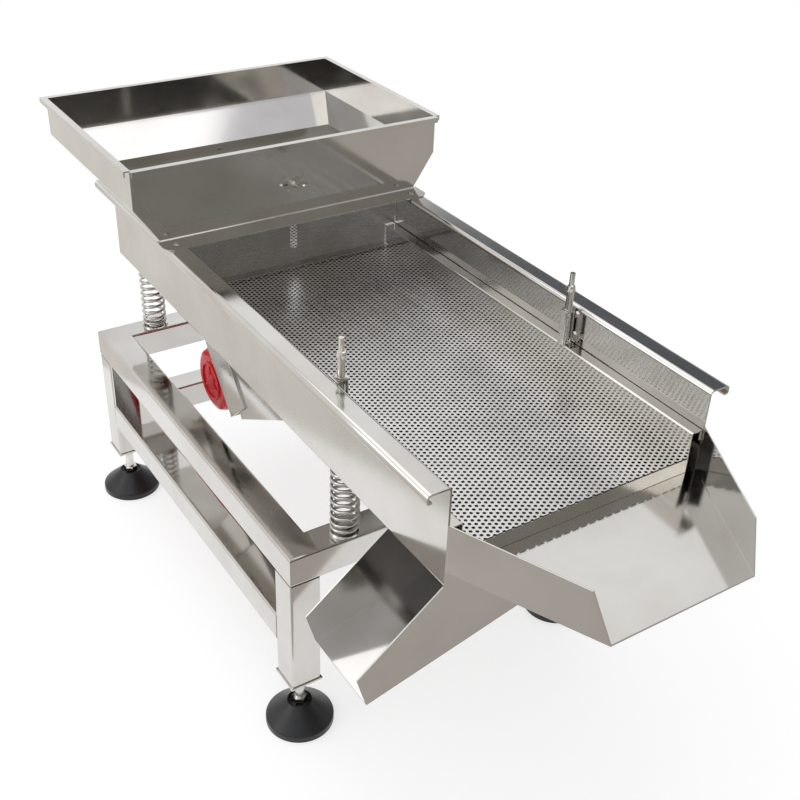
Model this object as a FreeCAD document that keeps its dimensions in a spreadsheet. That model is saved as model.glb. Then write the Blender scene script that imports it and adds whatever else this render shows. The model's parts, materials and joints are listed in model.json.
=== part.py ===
import FreeCAD, Part
import Sketcher
import math
import os
import re
from FreeCAD import Vector, Rotation

# Vibrating sieve. The model is drawn about the frame: X = 0 is the middle of the frame, Y = 0 its
# front face and Z = 0 the floor. -Y is the discharge end and -X the side of the fines chute.
# Every piece then moves by the same shift, which puts the origin under the middle of the whole sieve.

doc = FreeCAD.newDocument("VibratingSieve")
sizes = doc.addObject("Spreadsheet::Sheet", "sizes")

SIZES = [
    # welded frame
    ("tube", 38, "width of the square tube"),
    ("tube_wall", 1.5, "wall of the square tube"),
    ("tube_round", 3, "outer corner radius of the square tube"),
    ("frame_width", 432, "outside, across the flow"),
    ("frame_length", 578, "outside, along the flow"),
    ("frame_top", 268, "top of the upper rails"),
    ("lower_rail_top", 161, "top of the lower rails"),
    ("leg_end", 76, "height of the lower end of the leg tubes"),
    ("end_plate", 3, "thickness of the plate under a leg"),
    ("end_plate_margin", 1.5, "how far that plate stands out past the tube"),
    # levelling feet
    ("foot_radius", 41, "base of the foot"),
    ("foot_band", 9.5, "height of its upright edge"),
    ("foot_edge", 3, "rounding above that edge"),
    ("foot_height", 32, "top of its cone"),
    ("foot_boss_radius", 16, "rim round the stem's recess"),
    ("foot_recess", 2, "depth of that recess"),
    ("foot_socket_depth", 12, "how far the stem sits in the cone"),
    ("collar_gap", 1.5, "corners of the stem's hexagon to its recess"),
    ("stem_radius", 6, "M12 stem"),
    ("stem_top", 112, "upper end of the stem, inside the leg"),
    ("stem_nut_flats", 19, "across flats of the stem's nuts"),
    ("stem_nut_height", 7, ""),
    ("running_gap", 0.05, "radial clearance of a running fit"),
    # springs
    ("spring_in", 23, "middle of a spring to the trough's side"),
    ("spring_radius", 15, "middle of the wire"),
    ("spring_wire", 4, "wire diameter"),
    ("spring_turns", 10, ""),
    ("seat_plate", 2, "plate of a spring seat"),
    ("seat_margin", 1, "plate outside the coil"),
    ("seat_boss_gap", 0.8, "boss to the coil, radial"),
    ("seat_boss", 8, "height of that boss"),
    # trough
    ("trough_width", 320, "outside the side walls"),
    ("trough_overhang", 199, "front end of the trough, ahead of the frame"),
    ("trough_tail", 34, "rear end of the trough, behind the frame"),
    ("spring_space", 93, "frame to the underside of the trough"),
    ("trough_depth", 115, "underside to the top of the rims"),
    ("trough_sheet", 2, "sheet of the trough"),
    ("rim_width", 25, "rim, outside the wall"),
    ("rim_drop", 11, "turned-down lip of the rim"),
    ("rim_return", 6, "inward edge of that lip"),
    ("trough_bend", 3, "inner radius of the trough's bends"),
    ("hem_bend", 1, "inner radius of the bends at the lip and the floor"),
    ("thin_sheet", 1.5, "sheet of the lighter pieces"),
    ("deck_bolt_flats", 10, ""),
    ("deck_bolt_head", 4, ""),
    ("deck_bolt_out", 7, "row of deck bolts to the motor's bracket"),
    ("deck_bolt_first", 192, "first bolt of a row"),
    ("deck_bolt_step", 119, ""),
    # fines chute, across the flow
    ("fines_width", 99, "along the flow"),
    ("fines_reach", 92, "how far it stands out past the trough wall"),
    ("fines_drop", 73, "underside of the trough to its outer upper corner"),
    ("fines_lip_in", 11, "slant of its outer end"),
    ("fines_lip_drop", 38, "height of its outer end"),
    ("fines_back", 9, "height of its closed end"),
    # oversize chute
    ("spout_lift", 20, "trough's underside to the floor of the chute"),
    ("spout_length", 148, ""),
    ("spout_fall", 4, "fall of the floor over that length"),
    ("spout_wall", 53, "height of its walls at the trough"),
    ("spout_end_wall", 50, "height of its walls at the end"),
    ("spout_chamfer", 21, "slant of the end of its walls"),
    ("spout_end_width", 178, "width of its end"),
    # screen tray
    ("tray_ledge", 14, "width of the ledges beside the screen"),
    ("tray_bend", 0.5, "inner radius of the bend at a ledge"),
    ("tray_rise", 30, "screen to the ledges"),
    ("tray_lip", 19, "turned-down front edge, from the screen to the floor of the chute"),
    ("tray_side_gap", 1, "ledge to the trough wall"),
    ("tray_rear_gap", 10, "tray to the rear wall"),
    ("tray_angle_gap", 1, "support angle to the tray's wall"),
    # hopper and gate
    ("hopper_throat", 226, "front face to the trough's rear end"),
    ("hopper_back", 72, "rear face behind the trough's rear end"),
    ("hopper_splay", 32, "how far a side wall slopes in"),
    ("hopper_slope", 47, "height of the sloping part"),
    ("hopper_wall", 50, "height of the upright part"),
    ("hopper_foot_in", 2, "foot of the hopper to the edge of the rims"),
    ("hopper_rim", 7, "outward rim"),
    ("hopper_rim_drop", 7, "lip of that rim"),
    ("flange_reach", 31, "front flange on the trough rims"),
    ("flange_over", 4, "flange past the edge of the rims"),
    ("flange_bend", 2, "fillet where it meets the front wall"),
    ("flange_round", 12, "corner radius of the flange"),
    ("flange_hole", 4.5, "radius of its two holes"),
    ("flange_hole_in", 10, "hole to the trough's side"),
    ("flange_hole_back", 16.5, "hole to the hopper's front face"),
    ("shelf_drop", 33, "plate across the rear of the throat, below the break of the walls"),
    ("shelf_depth", 48, ""),
    ("shelf_hole", 3.5, ""),
    ("shelf_hole_in", 22, "hole to the rear edge of that plate"),
    ("gate_foot_gap", 2, "lowered gate to the screen and to the ledges"),
    ("gate_over_bolt", 13, "gate above its bolt"),
    ("gate_side_gap", 1, "gate to the trough's walls; twice that to the tray's walls"),
    ("gate_lip", 6, "forward lip of the lower edge"),
    ("gate_gap", 0.1, "gate to the hopper's front wall"),
    ("slot_width", 11, "slot of the gate"),
    ("slot_foot", 25, "lower edge of the gate to its slot"),
    ("gate_bolt_rise", 41, "bolt above the trough's rims"),
    ("thumb_radius", 3, "M6 rods and bolts"),
    ("gate_bolt_reach", 13, "thread ahead of the hopper"),
    ("bolt_head_radius", 7, ""),
    ("bolt_head", 3, ""),
    ("washer_radius", 7, ""),
    ("washer", 1.2, ""),
    # hold-down clamps
    ("clamp_place", 11, "behind the frame's front face"),
    ("rod_in", 10, "rod to the trough's wall"),
    ("rod_over_nut", 22, "rod above the seat of its wing nut"),
    ("tab_gap", 4, "tray ledge to the tab that carries the rod"),
    ("tab_width", 4, ""),
    ("bracket_width", 20, "wall leg of that bracket"),
    ("bracket_drop", 2, "wall leg below the rims"),
    ("saddle_height", 43, "ledge to the top of the saddle"),
    ("saddle_width", 10, "along the flow"),
    ("saddle_round", 1.5, "its upright corners"),
    ("saddle_side_gap", 0.4, "saddle to the bolts of the bracket"),
    ("saddle_plate", 2, ""),
    ("saddle_hole_gap", 0.3, "radial clearance of the saddle's hole"),
    ("sleeve_radius", 4.2, ""),
    ("sleeve_ring", 6, "radius of the ring at its foot"),
    ("sleeve_ring_height", 1.5, ""),
    ("sleeve_length", 24, ""),
    ("small_bolt_flats", 7, "bolts of the clamp brackets"),
    ("small_bolt_head", 1.6, ""),
    ("small_bolt_place", 5, "bolts ahead of the rod"),
    ("stop_nut_gap", 0.5, "nut under the saddle to the saddle's legs"),
    ("stop_nut_height", 5, ""),
    # wing nut
    ("nut_radius", 5.5, "foot of the hub"),
    ("nut_neck", 4.4, "top of the hub"),
    ("nut_height", 6, ""),
    ("wing_span", 15.5, "middle to the tip of a wing"),
    ("wing_rise", 13, "seat to the tip of a wing"),
    ("wing_thick", 2.6, ""),
    ("wing_round", 2.2, "corners of a wing's tip"),
    # motor and its bracket
    ("motor_drop", 114, "axis of the motor, below the trough"),
    ("motor_to_rail", 132, "axis of the motor to the rear rail"),
    ("motor_tilt", 48.5, "slope of the bracket, in degrees"),
    ("motor_stand", 55.5, "axis to the bracket"),
    ("motor_bracket_in", 30, "bracket's flanges to the trough's side"),
    ("bracket_plate", 3, "plate and flanges"),
    ("bracket_flange", 54.5, ""),
    ("bracket_low_end", 61.7, "middle of the motor to the lower end"),
    ("gusset_front", 99, "front tip of the gusset"),
    ("gusset_low_ahead", 108, "low corner of the gusset, ahead of the motor"),
    ("gusset_depth", 113, ""),
    ("gusset_rear_ahead", 44, "rear end of the gusset, ahead of the motor"),
    ("body_radius", 42, "motor body"),
    ("body_wall", 5, ""),
    ("body_length", 150, ""),
    ("cap_gap", 0.7, "cap to the body, radial"),
    ("cap_wall", 2, ""),
    ("motor_length", 240, "over the caps"),
    ("cap_round", 9, ""),
    ("cap_ring", 27, "outer radius of the raised ring on a cap"),
    ("cap_ring_width", 3, ""),
    ("cap_ring_height", 2, ""),
    ("cap_hub", 11, "radius of the raised middle of a cap"),
    ("cap_rib", 3, "width of the ribs between the two"),
    ("motor_foot_length", 100, "foot of the motor, along its axis"),
    ("motor_foot_width", 110, ""),
    ("motor_foot_plate", 8, ""),
    ("motor_bolt_flats", 13, ""),
    ("motor_bolt_head", 5.5, ""),
    ("motor_bolt_in", 12, "bolt to the edges of the foot"),
    ("shaft_radius", 8, ""),
    ("bearing_radius", 20, ""),
    ("bearing_width", 12, ""),
    ("air_gap", 1.5, "rotor to stator"),
    ("rotor_length", 70, ""),
    ("stator_wall", 11.5, ""),
    ("weight_radius", 34, ""),
    ("weight_thick", 14, ""),
    ("weight_gap", 6, "motor body to an eccentric weight"),
    ("box_length", 60, "terminal box"),
    ("box_width", 46, ""),
    ("box_height", 26, ""),
    ("gland_radius", 8, ""),
    ("gland_length", 14, ""),
]

# widths and places that follow from the sizes
DERIVED = {
    "trough_floor": "frame_top + spring_space",
    "trough_length": "trough_overhang + frame_length + trough_tail",
    "trough_rear": "frame_length + trough_tail",
    "inner_wall": "trough_width / 2 - trough_sheet",
    "rim_top": "trough_floor + trough_depth",
    "spring_spread": "trough_width - 2 * spring_in",
    "spring_base": "frame_top + seat_plate",
    "spring_end": "trough_floor - seat_plate",
    "seat_radius": "spring_radius + spring_wire / 2 + seat_margin",
    "seat_boss_radius": "spring_radius - spring_wire / 2 - seat_boss_gap",
    "deck_bolt_spread": "bracket_span + 2 * deck_bolt_out",
    "spout_floor": "trough_floor + spout_lift",
    "tray_floor": "spout_floor + tray_lip",
    "tray_width": "trough_width - 2 * (trough_sheet + tray_side_gap + tray_ledge)",
    "ledge_top": "tray_floor + tray_rise",
    "ledge_edge": "inner_wall - tray_side_gap",
    "angle_leg": "tray_ledge + tray_side_gap - thin_sheet - tray_angle_gap",
    "hopper_front": "trough_rear - hopper_throat",
    "hopper_rear": "trough_rear + hopper_back",
    "hopper_foot_width": "trough_width + 2 * rim_width - 2 * hopper_foot_in",
    "hopper_width": "hopper_foot_width + 2 * hopper_splay",
    "hopper_break": "rim_top + hopper_slope",
    "hopper_top": "hopper_break + hopper_wall",
    "flange_width": "trough_width + 2 * rim_width + 2 * flange_over",
    "flange_hole_spread": "trough_width + 2 * flange_hole_in",
    "shelf_height": "hopper_break - shelf_drop",
    "gate_face": "hopper_front + thin_sheet + gate_gap",
    "gate_bottom": "tray_floor + gate_foot_gap",
    "gate_shoulder": "ledge_top + gate_foot_gap",
    "gate_width": "2 * inner_wall - 2 * gate_side_gap",
    "gate_low_width": "tray_width - 4 * gate_side_gap",
    "gate_bolt_height": "rim_top + gate_bolt_rise",
    "gate_top": "gate_bolt_height + gate_over_bolt",
    "slot_bottom": "gate_bottom + slot_foot",
    "clamp_spread": "2 * (inner_wall - rod_in)",
    "tab_height": "ledge_top + tab_gap",
    "bracket_top": "rim_top - bracket_drop",
    "saddle_top": "ledge_top + saddle_height",
    "saddle_reach": "rod_in - thin_sheet - small_bolt_head - saddle_plate / 2 - saddle_side_gap",
    "nut_seat": "saddle_top + sleeve_length",
    "rod_top": "nut_seat + rod_over_nut",
    "stop_nut_flats": "2 * (saddle_reach - saddle_plate / 2 - stop_nut_gap)",
    "motor_height": "trough_floor - motor_drop",
    "motor_place": "frame_length - tube - motor_to_rail",
    "bracket_span": "trough_width - 2 * motor_bracket_in",
    "gusset_low_place": "motor_place - gusset_low_ahead",
    "gusset_low_height": "trough_floor - gusset_depth",
    "gusset_rear": "motor_place - gusset_rear_ahead",
    "cap_radius": "body_radius + cap_gap + cap_wall",
    "rotor_radius": "body_radius - body_wall - stator_wall - air_gap",
    "motor_bolt_span": "motor_foot_length - 2 * motor_bolt_in",
    "motor_bolt_gauge": "motor_foot_width - 2 * motor_bolt_in",
    "rail_x": "frame_width / 2 - tube / 2",
    "rear_rail": "frame_length - tube / 2",
    "collar_flats": "stem_nut_flats - 3",
}

NAMES = [name for name, number, note in SIZES]
WORD = re.compile(r"[a-z][a-z_]*")


def fill_sheet():
    for row, (name, number, note) in enumerate(SIZES, 1):
        sizes.set("A%d" % row, name)
        sizes.set("B%d" % row, str(number))
        sizes.set("C%d" % row, note)
        sizes.setAlias("B%d" % row, name)
    doc.recompute()


def spelled_out(text):
    # derived names become sums of sizes
    while any(word in DERIVED for word in WORD.findall(text)):
        text = WORD.sub(lambda m: "(%s)" % DERIVED[m.group(0)] if m.group(0) in DERIVED else m.group(0), text)
    return text


def bind(text):
    # the same expression as another object has to write it
    return WORD.sub(lambda m: "sizes." + m.group(0) if m.group(0) in NAMES else m.group(0), spelled_out(text))


def num(text):
    value = sizes.evalExpression(spelled_out(text))
    return float(getattr(value, "Value", value))


def add(*terms):
    return " + ".join("(%s)" % term for term in terms)


# the common shift
SHIFT_X = "(trough_width / 2 + fines_reach - rail_x - foot_radius) / 2"
SHIFT_Y = "(trough_overhang + spout_length - hopper_rear - hopper_rim) / 2"

pieces = []


def put(piece, x="0", y="0", z="0", turn=None):
    # the last step of every piece: its place in the sieve, plus the common shift
    if turn:
        piece.Placement = FreeCAD.Placement(Vector(), turn)
    piece.setExpression("Placement.Base.x", bind(add(x, SHIFT_X)))
    piece.setExpression("Placement.Base.y", bind(add(y, SHIFT_Y)))
    piece.setExpression("Placement.Base.z", bind(z))
    pieces.append(piece)
    return piece


def new_body(label):
    body = doc.addObject("PartDesign::Body", label)
    body.Label = label
    return body


def new_sketch(body, name, role, offset="0"):
    sketch = body.newObject("Sketcher::SketchObject", body.Label + "_" + name)
    plane = [f for f in body.Origin.OriginFeatures if f.Role == role][0]
    sketch.AttachmentSupport = (plane, [""])
    sketch.MapMode = "FlatFace"
    sketch.setExpression("AttachmentOffset.Base.z", bind(offset))
    return sketch


def outline(sketch, points):
    # a closed outline whose corners are held at expressions of the sheet
    places = [Vector(num(x), num(y), 0) for x, y in points]
    first = sketch.GeometryCount
    count = len(places)
    for i in range(count):
        sketch.addGeometry(Part.LineSegment(places[i], places[(i + 1) % count]), False)
    for i in range(count):
        sketch.addConstraint(Sketcher.Constraint("Coincident", first + i, 2, first + (i + 1) % count, 1))
    for i, (x, y) in enumerate(points):
        for kind, text, value in (("DistanceX", x, places[i].x), ("DistanceY", y, places[i].y)):
            index = sketch.addConstraint(Sketcher.Constraint(kind, -1, 1, first + i, 1, value))
            sketch.setExpression("Constraints[%d]" % index, bind(text))


def rectangle(sketch, x0, y0, x1, y1):
    outline(sketch, [(x0, y0), (x1, y0), (x1, y1), (x0, y1)])


def circle(sketch, x, y, radius):
    place = Vector(num(x), num(y), 0)
    index = sketch.addGeometry(Part.Circle(place, Vector(0, 0, 1), num(radius)), False)
    for kind, text, value in (("DistanceX", x, place.x), ("DistanceY", y, place.y)):
        held = sketch.addConstraint(Sketcher.Constraint(kind, -1, 1, index, 3, value))
        sketch.setExpression("Constraints[%d]" % held, bind(text))
    held = sketch.addConstraint(Sketcher.Constraint("Radius", index, num(radius)))
    sketch.setExpression("Constraints[%d]" % held, bind(radius))


def hexagon(sketch, x, y, flats):
    # corner distance is flats / sqrt(3)
    corners = []
    for i in range(6):
        angle = math.radians(60 * i + 30)
        corners.append((add(x, "%.9f * (%s) / sqrt(3)" % (math.cos(angle), flats)),
                        add(y, "%.9f * (%s) / sqrt(3)" % (math.sin(angle), flats))))
    outline(sketch, corners)


def grow(body, kind, sketch, length, both=False):
    feature = body.newObject("PartDesign::" + kind, sketch.Label + "_" + kind.lower())
    feature.Profile = sketch
    feature.setExpression("Length", bind(length))
    if both:
        feature.Midplane = True
    return feature


def pad(body, sketch, length, both=False):
    return grow(body, "Pad", sketch, length, both)


def pocket(body, sketch, length, both=False, reverse=False):
    feature = grow(body, "Pocket", sketch, length, both)
    feature.Reversed = reverse
    return feature


def round_edges(body, base, radius, chosen):
    doc.recompute()
    names = ["Edge%d" % (i + 1) for i, edge in enumerate(base.Shape.Edges) if chosen(edge)]
    if not names:
        raise RuntimeError("%s has no edge to round" % body.Label)
    fillet = body.newObject("PartDesign::Fillet", body.Label + "_round")
    fillet.Base = (base, names)
    fillet.setExpression("Radius", bind(radius))
    return fillet


def shell(body, base, wall, open_faces):
    doc.recompute()
    names = ["Face%d" % (i + 1) for i, face in enumerate(base.Shape.Faces) if open_faces(face)]
    feature = body.newObject("PartDesign::Thickness", body.Label + "_shell")
    feature.Base = (base, names)
    feature.setExpression("Value", bind(wall))
    feature.Reversed = True
    feature.Join = 1
    return feature


def along(edge, axis):
    if len(edge.Vertexes) < 2:
        return False
    run = edge.Vertexes[-1].Point - edge.Vertexes[0].Point
    return run.Length > 0 and abs(run.dot(axis)) > 0.999 * run.Length


def bend(body, base, inside, outside, radius, sheet):
    # rounds folds that run along Y: inside and outside hold the corners (x, z) of the section
    def at(corners):
        places = [(num(x), num(z)) for x, z in corners]
        return lambda edge: along(edge, Vector(0, 1, 0)) and any(
            math.hypot(edge.CenterOfMass.x - x, edge.CenterOfMass.z - z) < 0.01 for x, z in places)
    tight = round_edges(body, base, radius, at(inside))
    return round_edges(body, tight, add(radius, sheet), at(outside))


def spun(body, sketch, axis_role):
    feature = body.newObject("PartDesign::Revolution", sketch.Label + "_turned")
    feature.Profile = sketch
    feature.ReferenceAxis = (sketch, [axis_role])
    feature.Angle = 360
    return feature


# welded frame

def square_tube(label, length, mitred=False, round_axis=Vector(0, 0, 1)):
    # stands on its own XY plane, its outer face at X = 0 and its mitres opening towards +X
    body = new_body(label)
    sketch = new_sketch(body, "section", "XY_Plane")
    rectangle(sketch, "0", "-tube / 2", "tube", "tube / 2")
    base = pad(body, sketch, length)
    rounded = round_edges(body, base, "tube_round", lambda edge: along(edge, round_axis))
    hollow = new_sketch(body, "hollow", "XY_Plane")
    rectangle(hollow, "tube_wall", "-tube / 2 + tube_wall", "tube - tube_wall", "tube / 2 - tube_wall")
    last = pocket(body, hollow, length, reverse=True)
    if mitred:
        cut = new_sketch(body, "mitres", "XZ_Plane")
        outline(cut, [("0", "0"), ("tube", "0"), ("tube", "tube")])
        outline(cut, [("0", length), ("tube", length), ("tube", length + " - tube")])
        last = pocket(body, cut, "2 * tube", both=True)
    body.Tip = last
    return body


def frame_rails():
    height = "frame_top - tube / 2"
    # columns: where the tube's own X, Y and Z axes point
    turns = {
        "left": Rotation(Vector(1, 0, 0), Vector(0, 0, -1), Vector(0, 1, 0), "XYZ"),
        "right": Rotation(Vector(-1, 0, 0), Vector(0, 0, 1), Vector(0, 1, 0), "XYZ"),
        "front": Rotation(Vector(0, 1, 0), Vector(0, 0, 1), Vector(1, 0, 0), "XYZ"),
        "rear": Rotation(Vector(0, -1, 0), Vector(0, 0, -1), Vector(1, 0, 0), "XYZ"),
    }
    for name, length, x, y in (("left", "frame_length", "-frame_width / 2", "0"),
                               ("right", "frame_length", "frame_width / 2", "0"),
                               ("front", "frame_width", "-frame_width / 2", "0"),
                               ("rear", "frame_width", "-frame_width / 2", "frame_length")):
        put(square_tube("top_rail_" + name, length, True), x, y, height, turns[name])
    low = "lower_rail_top - tube / 2"
    for name, x in (("left", "-frame_width / 2"), ("right", "frame_width / 2 - tube")):
        put(square_tube("lower_rail_" + name, "frame_length - 2 * tube"), x, "tube", low, turns["left"])
    put(square_tube("lower_rail_rear", "frame_width - 2 * tube"), "-frame_width / 2 + tube",
        "frame_length - tube", low, turns["front"])


def corners():
    for side, sx in (("left", "-"), ("right", "")):
        for end, y in (("front", "tube / 2"), ("rear", "rear_rail")):
            yield end + "_" + side, sx + "rail_x", y


def legs():
    for name, x, y in corners():
        put(square_tube("leg_" + name, "frame_top - tube - leg_end"), add(x, "-tube / 2"), y, "leg_end")


def leg_end_plates():
    body = new_body("leg_end_plates")
    sketch = new_sketch(body, "plates", "XY_Plane", "leg_end - end_plate")
    half = "(tube / 2 + end_plate_margin)"
    for name, x, y in corners():
        rectangle(sketch, add(x, "-" + half), add(y, "-" + half), add(x, half), add(y, half))
        circle(sketch, x, y, "stem_radius + running_gap")
    pad(body, sketch, "end_plate")
    put(body)


def foot_lock_nuts():
    body = new_body("foot_lock_nuts")
    sketch = new_sketch(body, "nuts", "XY_Plane", "leg_end - end_plate - stem_nut_height")
    for name, x, y in corners():
        hexagon(sketch, x, y, "stem_nut_flats")
        circle(sketch, x, y, "stem_radius + running_gap")
    pad(body, sketch, "stem_nut_height")
    put(body)


def levelling_feet():
    for name, x, y in corners():
        foot = new_body("foot_pad_" + name)
        section = new_sketch(foot, "section", "XZ_Plane")
        socket = "(collar_flats / sqrt(3) + collar_gap)"
        floor = "foot_height - foot_recess"
        outline(section, [
            ("0", "0"), ("foot_radius - foot_edge / 2", "0"), ("foot_radius", "foot_edge / 2"),
            ("foot_radius", "foot_band"), ("foot_boss_radius", "foot_height - 1"),
            ("foot_boss_radius - 1", "foot_height"), ("foot_boss_radius - 2", "foot_height"),
            ("foot_boss_radius - 2.5", floor), (socket, floor), (socket, floor + " - foot_recess"),
            ("stem_radius", floor + " - foot_recess"),
            ("stem_radius", "foot_height - foot_socket_depth"), ("0", "foot_height - foot_socket_depth")])
        turned = spun(foot, section, "V_Axis")
        level = num("foot_band")
        round_edges(foot, turned, "foot_edge", lambda edge: abs(edge.CenterOfMass.z - level) < 0.01
                    and abs(edge.BoundBox.ZLength) < 0.01)
        put(foot, x, y)
        stem = new_body("foot_stem_" + name)
        rod = new_sketch(stem, "rod", "XY_Plane", "foot_height - foot_socket_depth")
        circle(rod, "0", "0", "stem_radius")
        pad(stem, rod, "stem_top - (foot_height - foot_socket_depth)")
        collar = new_sketch(stem, "collar", "XY_Plane", floor + " - foot_recess")
        hexagon(collar, "0", "0", "collar_flats")
        pad(stem, collar, "stem_nut_height + 2 * foot_recess")
        put(stem, x, y)


# springs and their seats

def spring_seats(label, height, up):
    body = new_body(label)
    base = new_sketch(body, "plates", "XY_Plane", height)
    boss = new_sketch(body, "bosses", "XY_Plane", height)
    for end, y in (("front", "tube / 2"), ("rear", "rear_rail")):
        for sx in ("-", ""):
            circle(base, sx + "spring_spread / 2", y, "seat_radius")
            circle(boss, sx + "spring_spread / 2", y, "seat_boss_radius")
    plates = pad(body, base, "seat_plate")
    bosses = pad(body, boss, "seat_plate + seat_boss")
    plates.Reversed = not up
    bosses.Reversed = not up
    put(body)


def coil(radius, wire, low, high, turns):
    # rings of a four-sided wire on a helix; its first and last turns lie close to their neighbours
    steps = 12
    half = wire / 2.0
    close = wire * 1.08
    pitch = (high - low - wire - 2 * close) / (turns - 2)
    rings = []
    for i in range(int(round(turns * steps)) + 1):
        turn = i / float(steps)
        rise = close * min(turn, 1) + pitch * min(max(turn - 1, 0), turns - 2) + close * max(turn - turns + 1, 0)
        level = Vector(0, 0, low + half + rise)
        out = Vector(math.cos(2 * math.pi * turn), math.sin(2 * math.pi * turn), 0)
        rings.append([level + out * (radius - half), level + out * radius - Vector(0, 0, half),
                      level + out * (radius + half), level + out * radius + Vector(0, 0, half)])
    return rings


def coil_solid(rings):
    faces = []
    for a, b in zip(rings, rings[1:]):
        for k in range(4):
            n = (k + 1) % 4
            faces.append(Part.Face(Part.makePolygon([a[k], b[k], b[n], a[k]])))
            faces.append(Part.Face(Part.makePolygon([a[k], b[n], a[n], a[k]])))
    for ring in (rings[0], rings[-1]):
        faces.append(Part.Face(Part.makePolygon(ring + ring[:1])))
    solid = Part.Solid(Part.Shell(faces))
    if solid.Volume < 0:
        solid.reverse()
    return solid


def springs():
    low, high = num("spring_base"), num("spring_end")
    rings = coil(num("spring_radius"), num("spring_wire"), low, high, num("spring_turns"))
    for name, x, y in (("front_left", "-spring_spread / 2", "tube / 2"), ("front_right", "spring_spread / 2", "tube / 2"),
                       ("rear_left", "-spring_spread / 2", "rear_rail"), ("rear_right", "spring_spread / 2", "rear_rail")):
        feature = doc.addObject("Part::Feature", "spring_" + name)
        feature.Label = "spring_" + name
        feature.Shape = coil_solid(rings)
        put(feature, x, y)


# trough

def trough_shell():
    body = new_body("trough_shell")
    section = new_sketch(body, "section", "XZ_Plane", "trough_overhang")
    half, sheet = "trough_width / 2", "trough_sheet"
    rim, lip = "(trough_width / 2 + rim_width)", "(rim_top - rim_drop)"
    right = [
        (half, "trough_floor"), (half, "rim_top - trough_sheet"), (rim + " - trough_sheet", "rim_top - trough_sheet"),
        (rim + " - trough_sheet", lip + " + trough_sheet"), (rim + " - rim_return", lip + " + trough_sheet"),
        (rim + " - rim_return", lip), (rim, lip), (rim, "rim_top"), ("inner_wall", "rim_top"),
        ("inner_wall", "trough_floor + trough_sheet")]
    left = [("-(%s)" % x, z) for x, z in reversed(right)]
    outline(section, right + left)
    sides = pad(body, section, "trough_length")
    sides.Reversed = True

    def both(*corners):
        return [(sx + "(%s)" % right[i][0], right[i][1]) for i in corners for sx in ("-", "")]
    folded = bend(body, sides, both(1, 2), both(7, 8), "trough_bend", sheet)
    bend(body, folded, both(3, 9), both(0, 6), "hem_bend", sheet)
    opening = new_sketch(body, "fines_opening", "XY_Plane", "trough_floor")
    rectangle(opening, "-inner_wall", add("-trough_overhang", "-1"), "inner_wall",
              add("-trough_overhang", "fines_width - thin_sheet"))
    pocket(body, opening, "trough_sheet", reverse=True)
    holes = new_sketch(body, "hopper_holes", "XY_Plane", add("rim_top", "-trough_sheet"))
    for sx in ("-", ""):
        circle(holes, sx + "flange_hole_spread / 2", "hopper_front - flange_hole_back", "flange_hole")
    pocket(body, holes, "trough_sheet", reverse=True)
    put(body)


def trough_rear_wall():
    body = new_body("trough_rear_wall")
    sketch = new_sketch(body, "wall", "XZ_Plane", "-trough_rear")
    rectangle(sketch, "-inner_wall", "trough_floor + trough_sheet", "inner_wall", "rim_top")
    pad(body, sketch, "trough_sheet")
    put(body)


def support_angles():
    body = new_body("support_angles")
    section = new_sketch(body, "section", "XZ_Plane", "trough_overhang - trough_sheet")
    top = add("ledge_top", "-thin_sheet")
    for sx in ("-", ""):
        wall, edge = sx + "inner_wall", sx + "(inner_wall - angle_leg)"
        inside = sx + "(inner_wall - thin_sheet)"
        outline(section, [(wall, top), (edge, top), (edge, add(top, "-thin_sheet")), (inside, add(top, "-thin_sheet")),
                          (inside, add(top, "-angle_leg")), (wall, add(top, "-angle_leg"))])
    length = "trough_length - 2 * trough_sheet - tray_rear_gap"
    bars = pad(body, section, length)
    bars.Reversed = True
    put(body)


def fines_chute():
    # a channel across the flow; its floor falls from the right wall of the trough to the left, and its
    # front wall goes on upwards as the plate that closes the front of the trough
    body = new_body("fines_chute")
    wall = new_sketch(body, "side", "XZ_Plane", "trough_overhang")
    half = "trough_width / 2"
    tip = "-(trough_width / 2 + fines_reach)"
    lip = add(tip, "fines_lip_in")
    low = "trough_floor - fines_drop - fines_lip_drop"
    outline(wall, [("-" + half, "trough_floor"), (tip, "trough_floor - fines_drop"), (lip, low),
                   (half, "trough_floor - fines_back"), (half, "trough_floor")])
    block = pad(body, wall, "fines_width")
    block.Reversed = True
    inside = new_sketch(body, "inside", "XZ_Plane", "trough_overhang - thin_sheet")
    fall = "((fines_drop + fines_lip_drop - fines_back) / (trough_width + fines_reach - fines_lip_in))"
    out = "(%s - 20)" % tip
    level = add("trough_floor - fines_back + thin_sheet", "-(trough_width + fines_reach + 20) * " + fall)
    outline(inside, [("trough_width / 2 - thin_sheet", "trough_floor + 5"),
                     ("trough_width / 2 - thin_sheet", "trough_floor - fines_back + thin_sheet"),
                     (out, level), (out, "trough_floor + 5")])
    hollow = pocket(body, inside, "fines_width - 2 * thin_sheet")
    hollow.Reversed = False
    plate = new_sketch(body, "front_plate", "XZ_Plane", "trough_overhang")
    rectangle(plate, "-inner_wall", "trough_floor - 1", "inner_wall", "spout_floor - thin_sheet")
    front = pad(body, plate, "thin_sheet")
    front.Reversed = True
    put(body)


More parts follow.
